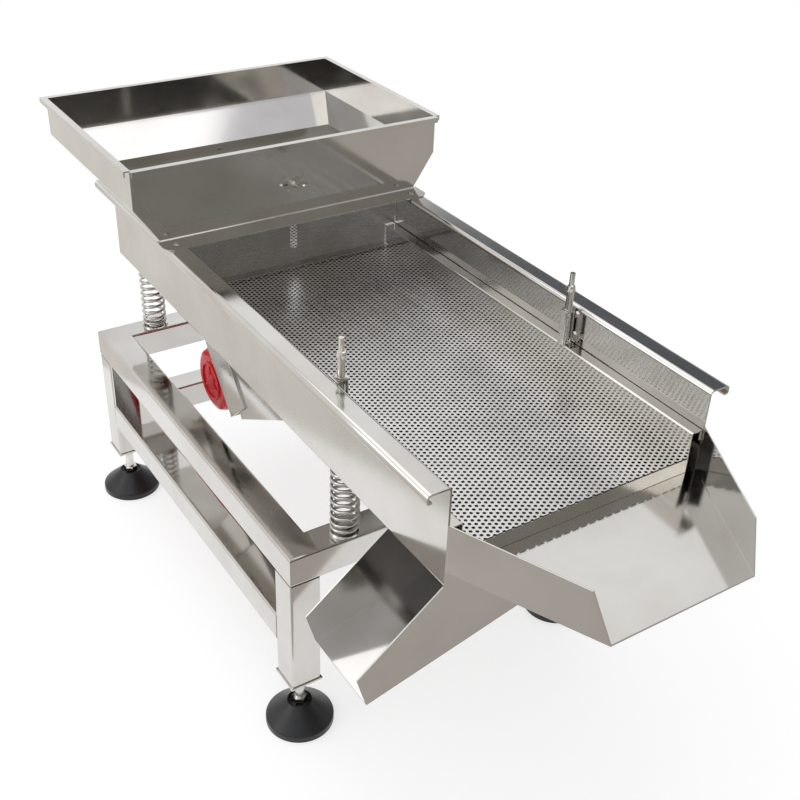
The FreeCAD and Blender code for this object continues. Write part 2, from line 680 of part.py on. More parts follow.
def oversize_chute():
    body = new_body("oversize_chute")
    side = new_sketch(body, "side", "YZ_Plane")
    end = add("-trough_overhang", "-spout_length")
    floor_end = "spout_floor - spout_fall"
    outline(side, [("-trough_overhang", "spout_floor - thin_sheet"), ("-trough_overhang", "spout_floor + spout_wall"),
                   (add(end, "spout_chamfer"), floor_end + " + spout_end_wall"),
                   (end, floor_end + " - thin_sheet")])
    block = pad(body, side, "trough_width", both=True)
    plan = new_sketch(body, "plan", "XY_Plane", "spout_floor - 20")
    half, tip = "trough_width / 2", "spout_end_width / 2"
    for sx in ("-", ""):
        outline(plan, [(sx + half, "-trough_overhang"), (sx + "(" + half + " + 5)", "-trough_overhang"),
                       (sx + "(" + half + " + 5)", end), (sx + tip, end)])
    taper = pocket(body, plan, "spout_wall + 60", reverse=True)

    def is_open(face):
        # the top, the end at the trough and the slanted outlet
        normal = face.normalAt(0, 0)
        return normal.z > 0.9 or abs(normal.y) > 0.5 and abs(normal.x) < 0.1
    shell(body, taper, "thin_sheet", is_open)
    put(body)


def deck_bolts():
    body = new_body("deck_bolts")
    sketch = new_sketch(body, "heads", "XY_Plane", "trough_floor - deck_bolt_head")
    for sx in ("-", ""):
        for i in range(3):
            hexagon(sketch, sx + "deck_bolt_spread / 2", "deck_bolt_first + %d * deck_bolt_step" % i,
                    "deck_bolt_flats")
    pad(body, sketch, "deck_bolt_head")
    put(body)


# screen tray

def tray_frame():
    # side walls with ledges and the turned-down front edge; the screen lies between them
    body = new_body("tray_frame")
    section = new_sketch(body, "section", "XZ_Plane", "trough_overhang")
    low, top = "tray_floor - thin_sheet", "ledge_top"
    for sx in ("-", ""):
        inner = sx + "tray_width / 2"
        outer = sx + "(tray_width / 2 + thin_sheet)"
        edge = sx + "ledge_edge"
        outline(section, [(inner, low), (inner, top), (edge, top), (edge, add(top, "-thin_sheet")),
                          (outer, add(top, "-thin_sheet")), (outer, low)])
    sides = pad(body, section, "trough_length - trough_sheet - tray_rear_gap")
    sides.Reversed = True
    under, over = [], []
    for sx in ("-", ""):
        under.append((sx + "(tray_width / 2 + thin_sheet)", "ledge_top - thin_sheet"))
        over.append((sx + "tray_width / 2", "ledge_top"))
    bend(body, sides, under, over, "tray_bend", "thin_sheet")
    lip = new_sketch(body, "lip", "XZ_Plane", "trough_overhang")
    rectangle(lip, "-(tray_width / 2 + thin_sheet)", "tray_floor - tray_lip", "tray_width / 2 + thin_sheet",
              "tray_floor - thin_sheet")
    fold = pad(body, lip, "thin_sheet")
    fold.Reversed = True
    put(body)


def screen_sheet():
    body = new_body("screen_sheet")
    sketch = new_sketch(body, "sheet", "XY_Plane", "tray_floor - thin_sheet")
    rear = add("trough_rear", "-trough_sheet - tray_rear_gap")
    rectangle(sketch, "-tray_width / 2", "-trough_overhang", "tray_width / 2", rear)
    pad(body, sketch, "thin_sheet")
    put(body)


# hopper and gate

def funnel(label, wall, bottom, top):
    # a block with slopes at both sides and at the rear, all its faces held in by wall
    body = new_body(label)
    half = "(hopper_width / 2 - %s)" % wall
    block = new_sketch(body, "block", "XY_Plane", bottom)
    rectangle(block, "-" + half, "hopper_front + " + wall, half, "hopper_rear - " + wall)
    pad(body, block, "%s - (%s)" % (top, bottom))
    low, high = "rim_top - hopper_slope / 4", "rim_top + hopper_slope * 5 / 4"

    def slope(near, run):
        # the slanted line from near at the rim's level, pushed in by wall
        level = "(%s - %s * sqrt((%s)^2 + hopper_slope^2) / hopper_slope)" % (near, wall, run)
        return ["(%s - %s / 4)" % (level, run), "(%s + %s * 5 / 4)" % (level, run), "(%s + 3 * %s)" % (near, run)]
    sides = new_sketch(body, "side_slopes", "XZ_Plane")
    lower, upper, far = slope("hopper_foot_width / 2", "hopper_splay")
    for sx in ("-", ""):
        outline(sides, [(sx + lower, low), (sx + upper, high), (sx + far, high), (sx + far, low)])
    pocket(body, sides, "4 * hopper_rear", both=True)
    rear = new_sketch(body, "rear_slope", "YZ_Plane")
    lower, upper, far = slope("trough_rear", "hopper_back")
    outline(rear, [(lower, low), (upper, high), (far, high), (far, low)])
    pocket(body, rear, "2 * hopper_width", both=True)
    return body


def hopper():
    body = funnel("hopper", "0", "rim_top", "hopper_top")
    inside = funnel("hopper_inside", "thin_sheet", "rim_top - 1", "hopper_top + 1")
    hollow = body.newObject("PartDesign::Boolean", "hopper_hollow")
    hollow.Type = "Cut"
    hollow.setObjects([inside])
    half = "hopper_width / 2"
    rim = new_sketch(body, "rim", "XY_Plane", "hopper_top - thin_sheet")
    wide = "(hopper_width / 2 + hopper_rim)"
    rectangle(rim, "-" + wide, "hopper_front - hopper_rim", wide, add("hopper_rear", "hopper_rim"))
    rectangle(rim, "-" + half, "hopper_front", half, "hopper_rear")
    pad(body, rim, "thin_sheet")
    lip = new_sketch(body, "lip", "XY_Plane", "hopper_top - hopper_rim_drop")
    rectangle(lip, "-" + wide, "hopper_front - hopper_rim", wide, add("hopper_rear", "hopper_rim"))
    inner = "(hopper_width / 2 + hopper_rim - thin_sheet)"
    rectangle(lip, "-" + inner, "hopper_front - hopper_rim + thin_sheet", inner,
              add("hopper_rear", "hopper_rim - thin_sheet"))
    pad(body, lip, "hopper_rim_drop")
    notch = new_sketch(body, "rim_notches", "XY_Plane", "hopper_top - 2 * hopper_rim_drop")
    for sx in ("-", ""):
        rectangle(notch, sx + half, "hopper_front", sx + "(%s + 1)" % wide, "hopper_front - hopper_rim - 1")
    pocket(body, notch, "3 * hopper_rim_drop", reverse=True)
    bore = new_sketch(body, "gate_bolt_hole", "XZ_Plane", "-hopper_front")
    circle(bore, "0", "gate_bolt_height", "thumb_radius + 0.2")
    pocket(body, bore, "20", both=True)
    shelf = new_sketch(body, "shelf", "XY_Plane", "shelf_height - thin_sheet")
    share = "((shelf_height - rim_top) / hopper_slope)"
    rear = add("trough_rear", "hopper_back * %s - thin_sheet" % share)
    wide_shelf = add("hopper_foot_width / 2", "hopper_splay * %s - 2 * thin_sheet" % share)
    rectangle(shelf, "-(%s)" % wide_shelf, add(rear, "-shelf_depth"), wide_shelf, rear)
    circle(shelf, "0", add(rear, "-shelf_hole_in"), "shelf_hole")
    pad(body, shelf, "thin_sheet")
    flange = new_sketch(body, "flange", "XY_Plane", "rim_top")
    rectangle(flange, "-flange_width / 2", "hopper_front - flange_reach", "flange_width / 2",
              "hopper_front + thin_sheet")
    for sx in ("-", ""):
        circle(flange, sx + "flange_hole_spread / 2", "hopper_front - flange_hole_back", "flange_hole")
    foot_plate = pad(body, flange, "thin_sheet")
    tip, fold, top = num("hopper_front - flange_reach"), num("hopper_front"), num("rim_top + thin_sheet")
    ends = round_edges(body, foot_plate, "flange_round",
                       lambda edge: along(edge, Vector(0, 0, 1)) and abs(edge.CenterOfMass.y - tip) < 0.01)
    round_edges(body, ends, "flange_bend", lambda edge: along(edge, Vector(1, 0, 0))
                and math.hypot(edge.CenterOfMass.y - fold, edge.CenterOfMass.z - top) < 0.01)
    put(body)


def gate():
    body = new_body("gate_plate")
    sketch = new_sketch(body, "plate", "XZ_Plane", "-(%s)" % add("gate_face", "thin_sheet"))
    wide, narrow = "gate_width / 2", "gate_low_width / 2"
    outline(sketch, [("-" + narrow, "gate_bottom"), (narrow, "gate_bottom"), (narrow, "gate_shoulder"),
                     (wide, "gate_shoulder"), (wide, "gate_top"), ("-" + wide, "gate_top"),
                     ("-" + wide, "gate_shoulder"), ("-" + narrow, "gate_shoulder")])
    pad(body, sketch, "thin_sheet")
    lip = new_sketch(body, "lip", "YZ_Plane")
    rectangle(lip, add("gate_face", "-gate_lip"), "gate_bottom", "gate_face", "gate_bottom + thin_sheet")
    pad(body, lip, "gate_low_width", both=True)
    slot = new_sketch(body, "slot", "XZ_Plane", "-gate_face")
    low, high = "slot_bottom + slot_width / 2", "gate_bolt_height"
    rectangle(slot, "-slot_width / 2", low, "slot_width / 2", high)
    pocket(body, slot, "10", both=True)
    ends = new_sketch(body, "slot_ends", "XZ_Plane", "-gate_face")
    circle(ends, "0", low, "slot_width / 2")
    pocket(body, ends, "10", both=True)
    top = new_sketch(body, "slot_top", "XZ_Plane", "-gate_face")
    circle(top, "0", high, "slot_width / 2")
    pocket(body, top, "10", both=True)
    put(body)


def gate_bolt():
    body = new_body("gate_bolt")
    back = add("gate_face", "thin_sheet", "gate_gap")
    head = new_sketch(body, "head", "XZ_Plane", "-(%s)" % add(back, "bolt_head"))
    circle(head, "0", "gate_bolt_height", "bolt_head_radius")
    pad(body, head, "bolt_head")
    rod = new_sketch(body, "rod", "XZ_Plane", "-(%s)" % back)
    circle(rod, "0", "gate_bolt_height", "thumb_radius")
    pad(body, rod, add(back, "-hopper_front", "gate_bolt_reach"))
    put(body)
    ring = new_body("gate_washer")
    disc = new_sketch(ring, "disc", "XZ_Plane", "-hopper_front")
    circle(disc, "0", "gate_bolt_height", "washer_radius")
    circle(disc, "0", "gate_bolt_height", "thumb_radius + 0.2")
    pad(ring, disc, "washer")
    put(ring)


def wing_nut(label, x, y, z, tilt=0, spin=0):
    # stands on its seat at its own Z = 0, its wings along X; spin turns it about its bore
    body = new_body(label)
    hub = new_sketch(body, "hub", "XZ_Plane")
    outline(hub, [("0", "0"), ("nut_radius", "0"), ("nut_radius", "nut_height / 5"),
                  ("nut_neck", "nut_height"), ("0", "nut_height")])
    spun(body, hub, "V_Axis")
    wings = new_sketch(body, "wings", "XZ_Plane")
    for sx in ("-", ""):
        outline(wings, [(sx + "nut_neck / 2", "nut_height / 8"), (sx + "nut_radius * 1.2", "nut_height / 6"),
                        (sx + "wing_span * 0.83", "wing_rise * 0.34"), (sx + "wing_span", "wing_rise * 0.7"),
                        (sx + "wing_span * 0.94", "wing_rise"), (sx + "wing_span * 0.62", "wing_rise"),
                        (sx + "wing_span * 0.47", "wing_rise * 0.74"), (sx + "nut_neck / 2", "nut_height")])
    blades = pad(body, wings, "wing_thick", both=True)
    tip = num("wing_span * 0.6")
    round_edges(body, blades, "wing_round", lambda edge: along(edge, Vector(0, 1, 0))
                and abs(edge.CenterOfMass.x) > tip and edge.CenterOfMass.z > num("wing_rise * 0.6"))
    bore = new_sketch(body, "bore", "XY_Plane")
    circle(bore, "0", "0", "thumb_radius + running_gap")
    pocket(body, bore, "nut_height + wing_rise", reverse=True)
    turn = Rotation(Vector(1, 0, 0), tilt).multiply(Rotation(Vector(0, 0, 1), spin))
    return put(body, x, y, z, turn)


# hold-down clamps

def clamps():
    for side, sx, spin in (("left", "-", 68), ("right", "", 50)):
        rod_x = sx + "clamp_spread / 2"
        bracket = new_body("clamp_bracket_" + side)
        angle = new_sketch(bracket, "wall_leg", "YZ_Plane", sx + "inner_wall")
        rectangle(angle, "clamp_place - bracket_width / 2", "tab_height", "clamp_place + bracket_width / 2", "bracket_top")
        wall_leg = pad(bracket, angle, "thin_sheet")
        wall_leg.Reversed = side == "right"
        tab = new_sketch(bracket, "tab", "XY_Plane", "tab_height")
        rectangle(tab, sx + "inner_wall", "clamp_place - tab_width / 2", sx + "(clamp_spread / 2 - thumb_radius)",
                  "clamp_place + tab_width / 2")
        pad(bracket, tab, "thin_sheet")
        stud = new_sketch(bracket, "stud", "XY_Plane", "tab_height")
        circle(stud, rod_x, "clamp_place", "thumb_radius")
        pad(bracket, stud, add("rod_top", "-tab_height"))
        put(bracket)
        saddle(side, sx)
        wing_nut("clamp_nut_" + side, rod_x, "clamp_place", "nut_seat", spin=spin)


def saddle(side, sx):
    # an upturned U and the sleeve on it; its outer leg straddles the tab that carries the rod
    body = new_body("clamp_saddle_" + side)
    half = "saddle_plate / 2"
    top = new_sketch(body, "top", "XY_Plane", "saddle_top - saddle_plate")
    rectangle(top, "-(saddle_reach + %s)" % half, "-saddle_width / 2", "saddle_reach + " + half, "saddle_width / 2")
    circle(top, "0", "0", "thumb_radius + saddle_hole_gap")
    pad(body, top, "saddle_plate")
    feet = new_sketch(body, "legs", "XY_Plane", "ledge_top")
    rectangle(feet, "-(saddle_reach + %s)" % half, "-saddle_width / 2", "-(saddle_reach - %s)" % half, "saddle_width / 2")
    rectangle(feet, "saddle_reach - " + half, "-saddle_width / 2", "saddle_reach + " + half, "saddle_width / 2")
    legs = pad(body, feet, "saddle_top - saddle_plate - ledge_top")
    half_width, outer = num("saddle_width / 2"), num("saddle_reach + " + half)
    round_edges(body, legs, "saddle_round", lambda edge: along(edge, Vector(0, 0, 1))
                and math.hypot(abs(edge.CenterOfMass.x) - outer, abs(edge.CenterOfMass.y) - half_width) < 0.01)
    notch = new_sketch(body, "notch", "YZ_Plane")
    rectangle(notch, "-tab_width / 2 - 1", "ledge_top - 1", "tab_width / 2 + 1", "tab_height + thin_sheet + 1")
    cut = pocket(body, notch, "saddle_reach + saddle_plate")
    cut.Reversed = side == "right"
    ring = new_sketch(body, "ring", "XY_Plane", "saddle_top")
    circle(ring, "0", "0", "sleeve_ring")
    circle(ring, "0", "0", "thumb_radius + saddle_hole_gap")
    pad(body, ring, "sleeve_ring_height")
    tube = new_sketch(body, "sleeve", "XY_Plane", "saddle_top")
    circle(tube, "0", "0", "sleeve_radius")
    circle(tube, "0", "0", "thumb_radius + saddle_hole_gap")
    pad(body, tube, "sleeve_length")
    put(body, sx + "clamp_spread / 2", "clamp_place")


def stop_nuts():
    body = new_body("clamp_stop_nuts")
    sketch = new_sketch(body, "nuts", "XY_Plane", "saddle_top - saddle_plate - stop_nut_height")
    for sx in ("-", ""):
        hexagon(sketch, sx + "clamp_spread / 2", "clamp_place", "stop_nut_flats")
        circle(sketch, sx + "clamp_spread / 2", "clamp_place", "thumb_radius + running_gap")
    pad(body, sketch, "stop_nut_height")
    put(body)


def bracket_bolts():
    body = new_body("clamp_bracket_bolts")
    for side, sx in (("left", "-"), ("right", "")):
        sketch = new_sketch(body, "heads_" + side, "YZ_Plane", sx + "(inner_wall - thin_sheet)")
        for height in ("bracket_top - small_bolt_flats", add("tab_height", "small_bolt_flats")):
            hexagon(sketch, "clamp_place - small_bolt_place", height, "small_bolt_flats")
        heads = pad(body, sketch, "small_bolt_head")
        heads.Reversed = side == "right"
    put(body)


# motor and bracket; their own frame has the motor's axis along X and the bracket below it

def put_motor(piece):
    return put(piece, "0", "motor_place", "motor_height", Rotation(Vector(1, 0, 0), num("motor_tilt") - 180))


def under_deck(z):
    # local Y at which the local height z meets the underside of the trough
    return "((motor_height - trough_floor - cos(motor_tilt) * (%s)) / sin(motor_tilt))" % z


def motor_bracket():
    body = new_body("motor_bracket")
    side = new_sketch(body, "side", "YZ_Plane")
    low, deep = "-motor_stand", "-(motor_stand + bracket_flange)"
    outline(side, [("bracket_low_end", low), ("bracket_low_end", deep), (under_deck(deep), deep),
                   (under_deck(low), low)])
    pad(body, side, "bracket_span", both=True)
    inside = new_sketch(body, "inside", "YZ_Plane")
    floor = "-(motor_stand + bracket_plate)"
    outline(inside, [("bracket_low_end + 5", floor), ("bracket_low_end + 5", deep + " - 5"),
                     ("-200", deep + " - 5"), ("-200", floor)])
    pocket(body, inside, "bracket_span - 2 * bracket_plate", both=True)
    put_motor(body)
    gussets = new_body("motor_gussets")
    for sx, reverse in (("-", False), ("", True)):
        name = "left" if sx else "right"
        plate = new_sketch(gussets, "plate_" + name, "YZ_Plane", sx + "(bracket_span / 2 - bracket_plate)")
        outline(plate, [("gusset_low_place", "gusset_low_height"), ("gusset_front", "trough_floor"),
                        ("gusset_rear", "trough_floor")])
        web = pad(gussets, plate, "thin_sheet")
        web.Reversed = reverse
    put(gussets)


def motor_body():
    body = new_body("motor_body")
    tube = new_sketch(body, "tube", "YZ_Plane")
    circle(tube, "0", "0", "body_radius")
    pad(body, tube, "body_length", both=True)
    foot = new_sketch(body, "foot", "XY_Plane", "-motor_stand")
    rectangle(foot, "-motor_foot_length / 2", "-motor_foot_width / 2", "motor_foot_length / 2", "motor_foot_width / 2")
    pad(body, foot, "motor_foot_plate")
    web = new_sketch(body, "web", "XY_Plane", "-motor_stand")
    rectangle(web, "-motor_foot_length / 2", "-body_radius * 0.6", "motor_foot_length / 2", "body_radius * 0.6")
    pad(body, web, "motor_stand - body_radius * 0.6")
    bore = new_sketch(body, "bore", "YZ_Plane")
    circle(bore, "0", "0", "body_radius - body_wall")
    pocket(body, bore, "body_length - 2 * bearing_width", both=True)
    seat = new_sketch(body, "bearing_seats", "YZ_Plane")
    circle(seat, "0", "0", "bearing_radius")
    pocket(body, seat, "body_length + 1", both=True)
    put_motor(body)


def motor_inside():
    stator = new_body("motor_stator")
    ring = new_sketch(stator, "ring", "YZ_Plane")
    circle(ring, "0", "0", "body_radius - body_wall")
    circle(ring, "0", "0", "body_radius - body_wall - stator_wall")
    pad(stator, ring, "rotor_length", both=True)
    put_motor(stator)
    bearings = new_body("motor_bearings")
    for sx in ("-", ""):
        name = "left" if sx else "right"
        race = new_sketch(bearings, "race_" + name, "YZ_Plane", sx + "(body_length / 2 - bearing_width)")
        circle(race, "0", "0", "bearing_radius")
        circle(race, "0", "0", "shaft_radius + running_gap")
        made = pad(bearings, race, "bearing_width")
        made.Reversed = bool(sx)
    put_motor(bearings)
    shaft = new_body("motor_shaft")
    line = new_sketch(shaft, "line", "YZ_Plane")
    circle(line, "0", "0", "shaft_radius")
    pad(shaft, line, "motor_length - 2 * cap_wall - 12", both=True)
    put_motor(shaft)
    core = new_body("motor_rotor")
    disc = new_sketch(core, "disc", "YZ_Plane")
    circle(disc, "0", "0", "rotor_radius")
    circle(disc, "0", "0", "shaft_radius")
    pad(core, disc, "rotor_length", both=True)
    put_motor(core)


def eccentric_weights():
    # they hang below the shaft when the motor stands still
    body = new_body("eccentric_weights")
    for side, sx in (("left", "-"), ("right", "")):
        disc = new_sketch(body, "disc_" + side, "YZ_Plane", sx + "(body_length / 2 + weight_gap)")
        circle(disc, "0", "0", "weight_radius")
        made = pad(body, disc, "weight_thick")
        made.Reversed = side == "left"
    trim = new_sketch(body, "trim", "YZ_Plane")
    rectangle(trim, "-weight_radius - 1", "shaft_radius + 4", "weight_radius + 1", "weight_radius + 1")
    pocket(body, trim, "motor_length", both=True)
    bore = new_sketch(body, "bore", "YZ_Plane")
    circle(bore, "0", "0", "shaft_radius")
    pocket(body, bore, "motor_length", both=True)
    put(body, "0", "motor_place", "motor_height")


def motor_caps():
    for side, sx in (("left", "-"), ("right", "")):
        body = new_body("motor_cap_" + side)
        section = new_sketch(body, "section", "XZ_Plane")
        end, mouth = "(motor_length / 2)", "(body_length / 2)"
        r, t = "cap_radius", "cap_wall"
        points = [(add(end, "cap_ring_height"), "0"), (add(end, "cap_ring_height"), "cap_hub - 1"), (end, "cap_hub"),
                  (end, "cap_ring - cap_ring_width"),
                  (add(end, "cap_ring_height"), "cap_ring - cap_ring_width"), (add(end, "cap_ring_height"), "cap_ring"),
                  (end, "cap_ring"), (end, r + " - cap_round"), (add(end, "-cap_round * 0.3"), r + " - cap_round * 0.3"),
                  (add(end, "-cap_round"), r), (mouth, r), (mouth, r + " - " + t),
                  (add(end, "-cap_round"), r + " - " + t), (add(end, "-" + t), r + " - cap_round"), (add(end, "-" + t), "0")]
        outline(section, [(sx + "(%s)" % x, z) for x, z in points])
        spun(body, section, "H_Axis")
        ribs = new_sketch(body, "ribs", "YZ_Plane", sx + "(motor_length / 2)")
        for angle in (90, 210, 330):
            side_x, side_y = math.cos(math.radians(angle)), math.sin(math.radians(angle))
            corners_of_rib = []
            for reach, across in (("cap_hub - 2", 1), ("cap_ring - 1", 1), ("cap_ring - 1", -1), ("cap_hub - 2", -1)):
                corners_of_rib.append((
                    "%.9f * (%s) + %.9f * cap_rib" % (side_x, reach, -side_y * across / 2),
                    "%.9f * (%s) + %.9f * cap_rib" % (side_y, reach, side_x * across / 2)))
            outline(ribs, corners_of_rib)
        made = pad(body, ribs, "cap_ring_height * 0.7")
        made.Reversed = side == "left"
        put_motor(body)


def terminal_box():
    body = new_body("motor_terminal_box")
    box = new_sketch(body, "box", "XY_Plane", "body_radius - 6")
    rectangle(box, "-box_length / 2", "-box_width / 2", "box_length / 2", "box_width / 2")
    pad(body, box, "box_height")
    hug = new_sketch(body, "hug", "YZ_Plane")
    circle(hug, "0", "0", "body_radius")
    pocket(body, hug, "box_length + 2", both=True)
    nose = new_sketch(body, "gland", "YZ_Plane", "box_length / 2")
    circle(nose, "0", "body_radius - 6 + box_height / 2 + 2", "gland_radius")
    pad(body, nose, "gland_length")
    throat = new_sketch(body, "gland_bore", "YZ_Plane", "box_length / 2 + gland_length")
    circle(throat, "0", "body_radius - 6 + box_height / 2 + 2", "gland_radius / 2")
    pocket(body, throat, "gland_length")
    put_motor(body)


def motor_bolts():
    body = new_body("motor_bolts")
    heads = new_sketch(body, "heads", "XY_Plane", "-motor_stand + motor_foot_plate")
    for sx in ("-", ""):
        for sy in ("-", ""):
            hexagon(heads, sx + "motor_bolt_span / 2", sy + "motor_bolt_gauge / 2", "motor_bolt_flats")
    pad(body, heads, "motor_bolt_head")
    put_motor(body)


def build():
    fill_sheet()
    frame_rails()
    legs()
    leg_end_plates()
    foot_lock_nuts()
    levelling_feet()
    spring_seats("spring_seats_lower", "frame_top", True)
    spring_seats("spring_seats_upper", "trough_floor", False)
    springs()
    trough_shell()
    trough_rear_wall()
    support_angles()
    fines_chute()
    oversize_chute()
    deck_bolts()
    tray_frame()
    screen_sheet()
    hopper()
    gate()
    gate_bolt()
    wing_nut("gate_nut", "0", "hopper_front - washer", "gate_bolt_height", 90, 7)
    clamps()
    stop_nuts()
    bracket_bolts()
    motor_bracket()
    motor_body()
    motor_inside()
    eccentric_weights()
    motor_caps()
    terminal_box()
    motor_bolts()
    doc.recompute()


def check():
    for item in doc.Objects:
        if "Invalid" in item.State or "Error" in item.State:
            raise RuntimeError("%s is %s" % (item.Label, item.State))
    for piece in pieces:
        if piece.Shape.isNull() or not piece.Shape.isValid():
            raise RuntimeError("%s has no valid shape" % piece.Label)


def write():
    os.makedirs("parts", exist_ok=True)
    for piece in pieces:
        piece.Shape.exportStep("parts/%s.step" % piece.Label)
    print("%d pieces written" % len(pieces))


build()
check()
write()
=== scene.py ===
import bpy
import bmesh
import json
import math
from mathutils import Vector, Matrix


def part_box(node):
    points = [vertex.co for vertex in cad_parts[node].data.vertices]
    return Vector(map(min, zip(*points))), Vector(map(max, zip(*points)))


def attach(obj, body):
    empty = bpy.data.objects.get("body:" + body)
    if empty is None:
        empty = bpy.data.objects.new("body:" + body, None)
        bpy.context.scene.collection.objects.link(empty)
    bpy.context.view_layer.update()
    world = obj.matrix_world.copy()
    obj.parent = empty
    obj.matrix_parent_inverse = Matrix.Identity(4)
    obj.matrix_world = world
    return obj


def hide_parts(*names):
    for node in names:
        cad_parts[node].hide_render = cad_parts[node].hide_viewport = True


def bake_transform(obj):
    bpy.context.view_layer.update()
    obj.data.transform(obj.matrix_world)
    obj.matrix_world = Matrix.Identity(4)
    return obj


# Vibrating sieve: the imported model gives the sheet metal; the screen's holes, the springs' wire
# and the finishes are made here. Sizes are in metres.
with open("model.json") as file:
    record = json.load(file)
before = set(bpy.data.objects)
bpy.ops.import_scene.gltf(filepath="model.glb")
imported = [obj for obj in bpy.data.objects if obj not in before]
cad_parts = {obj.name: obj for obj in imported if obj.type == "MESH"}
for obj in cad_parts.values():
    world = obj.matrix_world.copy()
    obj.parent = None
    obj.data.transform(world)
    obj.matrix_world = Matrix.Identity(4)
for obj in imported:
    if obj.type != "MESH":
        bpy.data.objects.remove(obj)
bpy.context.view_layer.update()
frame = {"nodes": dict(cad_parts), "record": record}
nodes = frame["nodes"]


def middle(node):
    low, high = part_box(node)
    return (low + high) / 2


# camera at the photograph's view
view = {
    "place": (-0.63633, -1.00278, 1.07215),
    "right": (0.840927, -0.539998, 0.035278),
    "up": (0.266296, 0.469686, 0.841713),
    "back": (-0.471093, -0.698425, 0.538771),
    "lens": 51.24,
    "sensor": 36,
}


def makeCamera():
    data = bpy.data.cameras.new("camera")
    data.lens = view["lens"]
    data.sensor_width = view["sensor"]
    camera = bpy.data.objects.new("camera", data)
    turn = Matrix([view["right"], view["up"], view["back"]]).transposed()
    camera.matrix_world = Matrix.Translation(view["place"]) @ turn.to_4x4()
    bpy.context.collection.objects.link(camera)
    bpy.context.scene.camera = camera


makeCamera()
bpy.context.scene.view_settings.view_transform = "Standard"
print("camera set")


# light: soft lamps overhead and from the left, in a room that is dark behind the camera and pale elsewhere.
# White paper lies under all that the camera sees of the floor; around it the floor is grey, paler towards
# the rear left, and shows in the steel's sides
studio = {
    "overhead": {"place": (-0.35, 0.25, 2.6), "aim": (-0.25, 0.2, 0.3), "size": (2.3, 2.0), "power": 12},
    "fromLeft": {"place": (-2.4, 0.5, 1.5), "aim": (0, 0.1, 0.3), "size": (1.2, 1.6), "power": 8},
    "walls": "#A39F9B",
    "patches": [
        # direction, where it starts and where it is full (cosines), colour
        ((0, 0, 1), 0.1, 0.45, "#DEDEE4"),
        ((-0.75, 0.66, 0), 0.25, 0.8, "#F6F4F1"),
        ((-0.3, 0, 0.95), 0.8, 0.97, "#E4E4E6"),
        ((0.43, -0.8, 0.42), 0.78, 0.93, "#98958F"),
        ((-0.83, -0.14, 0.54), 0.86, 0.95, "#FFFFFF"),
        ((0.49, 0.64, 0.59), 0.92, 0.97, "#FFFFFF"),
        ((0.66, 0.63, 0.42), 0.972, 0.992, "#5C6066"),
    ],
    "rearWall": "#FFFFFF",
    "rearTop": (0.33, 0.42),
    "rearSide": ((0.4, 0.92, 0), 0.7, 0.85),
    "paper": "#FFFFFF",
    "paperShade": 0.42,
    "paperGlow": 0.68,
    "paperMargin": 1.04,
    "floorNear": "#B7B2AC",
    "floorFar": "#E9E5E0",
    "floorFade": ((-0.6, 0.8, 0), -0.4, 1.2),
    "floorSize": 9,
    "floorBelow": 0.001,
}


def linear(code):
    parts = [int(code[i:i + 2], 16) / 255 for i in (1, 3, 5)]
    return tuple(c / 12.92 if c <= 0.04045 else ((c + 0.055) / 1.055) ** 2.4 for c in parts) + (1,)


def addNode(tree, kind, settings=None, links=None, **attributes):
    # settings are socket values, links are (socket, node, output)
    node = tree.nodes.new(kind)
    for name, value in attributes.items():
        setattr(node, name, value)
    for name, value in (settings or {}).items():
        node.inputs[name].default_value = value
    for name, source, output in (links or []):
        tree.links.new(source.outputs[output], node.inputs[name])
    return node


def makeLamp(name, spec):
    data = bpy.data.lights.new(name, "AREA")
    data.shape = "RECTANGLE"
    data.size, data.size_y = spec["size"]
    data.energy = spec["power"]
    lamp = bpy.data.objects.new(name, data)
    aim = Vector(spec["aim"]) - Vector(spec["place"])
    lamp.matrix_world = Matrix.Translation(spec["place"]) @ aim.to_track_quat("-Z", "Y").to_matrix().to_4x4()
    bpy.context.collection.objects.link(lamp)


def blended(tree, factor, first, second):
    # colours or colour sockets, mixed by the factor node's value
    mix = tree.nodes.new("ShaderNodeMix")
    mix.data_type = "RGBA"
    tree.links.new(factor.outputs[0], mix.inputs["Factor"])
    for name, value in (("A", first), ("B", second)):
        socket = [s for s in mix.inputs if s.name == name and s.type == "RGBA"][0]
        if isinstance(value, tuple):
            socket.default_value = value
        else:
            tree.links.new(value, socket)
    return [s for s in mix.outputs if s.type == "RGBA"][0]


def toward(tree, vector, direction, low, high):
    # 0 to 1 as the vector turns towards a direction
    dot = addNode(tree, "ShaderNodeVectorMath", {1: direction}, [(0, vector[0], vector[1])],
                  operation="DOT_PRODUCT")
    return addNode(tree, "ShaderNodeMapRange", {"From Min": low, "From Max": high}, [("Value", dot, "Value")],
                   interpolation_type="SMOOTHSTEP")


def makeWorld():
    world = bpy.data.worlds.new("studio")
    bpy.context.scene.world = world
    world.use_nodes = True
    tree = world.node_tree
    tree.nodes.clear()
    way = (addNode(tree, "ShaderNodeTexCoord"), "Generated")
    room = linear(studio["walls"])
    for direction, low, high, colour in studio["patches"]:
        room = blended(tree, toward(tree, way, direction, low, high), room, linear(colour))
    # bright rear wall, only up to its top
    low, high = studio["rearTop"]
    below = toward(tree, way, (0, 0, -1), -high, -low)
    behind = toward(tree, way, *studio["rearSide"])
    rear = addNode(tree, "ShaderNodeMath", links=[(0, below, "Result"), (1, behind, "Result")],
                   operation="MULTIPLY")
    whole = blended(tree, rear, room, linear(studio["rearWall"]))
    around = addNode(tree, "ShaderNodeBackground", {"Strength": 1.0})
    tree.links.new(whole, around.inputs["Color"])
    addNode(tree, "ShaderNodeOutputWorld", links=[("Surface", around, 0)])


